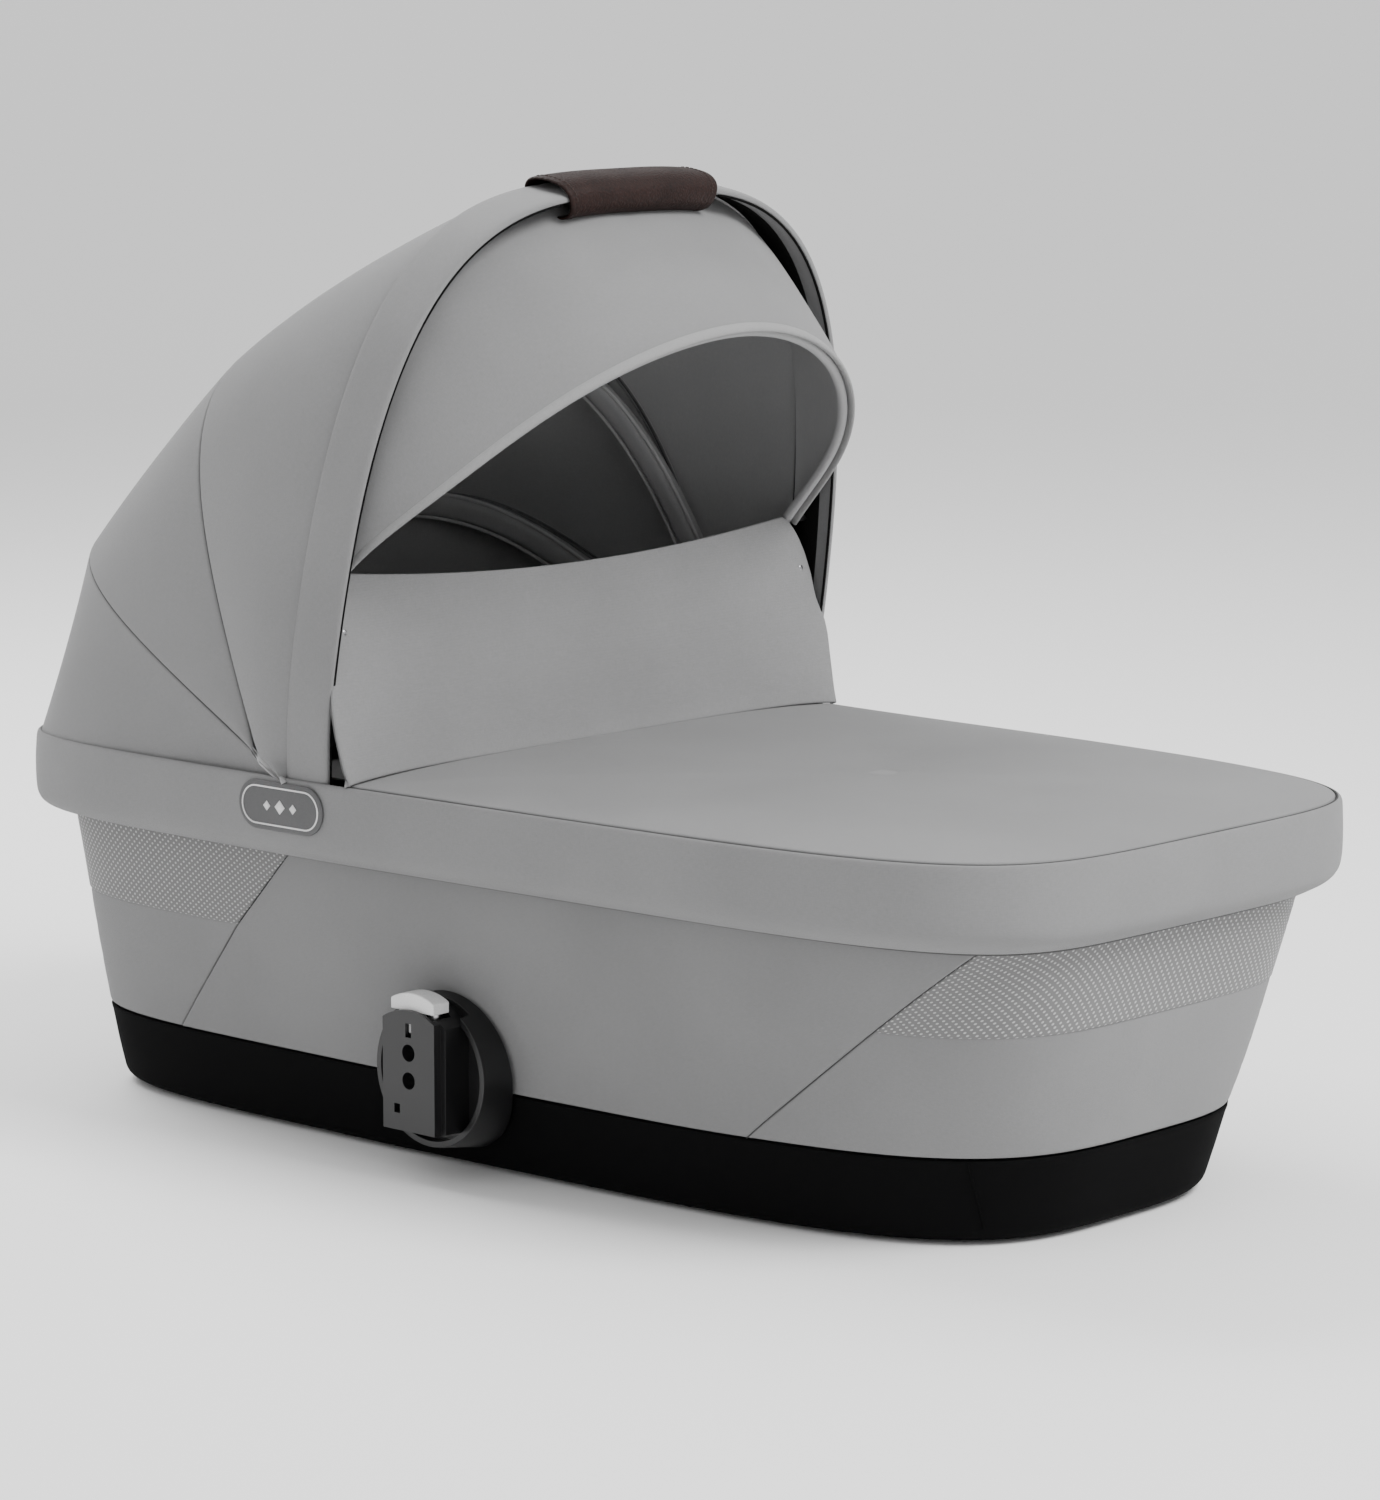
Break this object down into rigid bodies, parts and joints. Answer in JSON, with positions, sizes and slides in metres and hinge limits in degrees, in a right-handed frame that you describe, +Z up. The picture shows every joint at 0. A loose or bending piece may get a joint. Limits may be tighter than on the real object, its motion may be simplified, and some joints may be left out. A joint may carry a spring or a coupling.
{
  "type": "baby carrycot",
  "caption": "Fabric-covered baby carrycot with a folding hood, flip-up sun visor, apron with a standing wind flap, and chassis adapters on both sides.",
  "frame": {"origin": "middle of the underside, on the surface the carrycot stands on", "axes": "+X from the head end to the foot end, +Y across to the carrycot's left as seen from the head end, +Z up"},
  "size_m": [0.8604, 0.4796, 0.6277],
  "materials": {
    "grey_fabric": "woven melange fabric, matt",
    "grey_mesh": "spacer mesh with small light dots",
    "dark_lining": "smooth dark grey lining",
    "mattress": "quilted white cover",
    "brown_leather": "grained leather, satin",
    "black_plastic": "fine matt grain",
    "adapter_plastic": "satin moulded plastic",
    "white_plastic": "satin",
    "badge_grey": "soft matt rubber",
    "rubber_pad": "matt",
    "board": "plain hardboard",
    "steel": "bright drawn steel",
    "chrome_stud": "polished"
  },
  "bodies": {
    "root": {"base_tray": "black_plastic", "base_feet": "rubber_pad", "base_screws": "steel", "tub_shell": "black_plastic", "base_board": "board", "mattress": "mattress", "inner_liner": "dark_lining", "side_cover": "grey_fabric", "head_vent": "grey_mesh", "foot_vent": "grey_mesh", "rim_frame": "black_plastic", "hood_skirt": "grey_fabric", "apron_skirt": "grey_fabric", "apron_top": "grey_fabric", "hood_hub_left": "black_plastic", "hood_hub_right": "black_plastic", "pivot_pin_left": "steel", "pivot_pin_right": "steel", "badge_left": "badge_grey", "badge_right": "badge_grey", "canopy_rear_panel": "grey_fabric", "adapter_housing_left": "black_plastic", "adapter_housing_right": "black_plastic", "adapter_plate_left": "adapter_plastic", "adapter_plate_right": "adapter_plastic", "button_springs_left": "steel", "button_springs_right": "steel", "adapter_screws": "steel"},
    "rear_bow": {"rear_bow": "black_plastic"},
    "mid_bow": {"mid_bow": "black_plastic", "canopy_mid_panel": "grey_fabric"},
    "front_bow": {"front_bow": "black_plastic", "front_bow_cover": "grey_fabric", "handle_sleeve": "brown_leather", "visor_pins": "steel", "canopy_front_panel": "grey_fabric"},
    "visor": {"visor_wire": "steel", "visor_panel": "grey_fabric"},
    "wind_flap": {"wind_flap": "grey_fabric", "flap_studs": "chrome_stud"},
    "button_left": {"adapter_button_left": "white_plastic"},
    "button_right": {"adapter_button_right": "white_plastic"}
  },
  "joints": [
    {"name": "rear_bow_fold", "type": "hinge", "parent": "root", "child": "rear_bow", "pos_m": [-0.13, 0, 0.234], "axis": [0, -1, 0], "range_deg": [0, 15.2], "deforming": ["canopy_rear_panel"]},
    {"name": "mid_bow_fold", "type": "hinge", "parent": "rear_bow", "child": "mid_bow", "pos_m": [-0.13, 0, 0.234], "axis": [0, -1, 0], "range_deg": [0, 20.2], "deforming": ["canopy_mid_panel"]},
    {"name": "hood_fold", "type": "hinge", "parent": "mid_bow", "child": "front_bow", "pos_m": [-0.13, 0, 0.234], "axis": [0, -1, 0], "range_deg": [0, 25], "deforming": ["canopy_front_panel"]},
    {"name": "visor_flip", "type": "hinge", "parent": "front_bow", "child": "visor", "pos_m": [-0.085, 0, 0.372], "axis": [0, -1, 0], "range_deg": [0, 32], "deforming": ["visor_panel"]},
    {"name": "wind_flap_fold", "type": "hinge", "parent": "root", "child": "wind_flap", "pos_m": [-0.072, 0, 0.256], "axis": [0, 1, 0], "range_deg": [0, 92]},
    {"name": "button_left_press", "type": "slide", "parent": "root", "child": "button_left", "axis": [0, 0, -1], "range_m": [0, 0.005], "stiffness_N_per_m": 600, "springref_m": -0.002, "deforming": ["button_springs_left"]},
    {"name": "button_right_press", "type": "slide", "parent": "root", "child": "button_right", "axis": [0, 0, -1], "range_m": [0, 0.005], "stiffness_N_per_m": 600, "springref_m": -0.002, "deforming": ["button_springs_right"]}
  ],
  "couplings": [
    {"joint": "rear_bow_fold", "follows": "hood_fold", "ratio": 0.6},
    {"joint": "mid_bow_fold", "follows": "hood_fold", "ratio": 0.8}
  ]
}
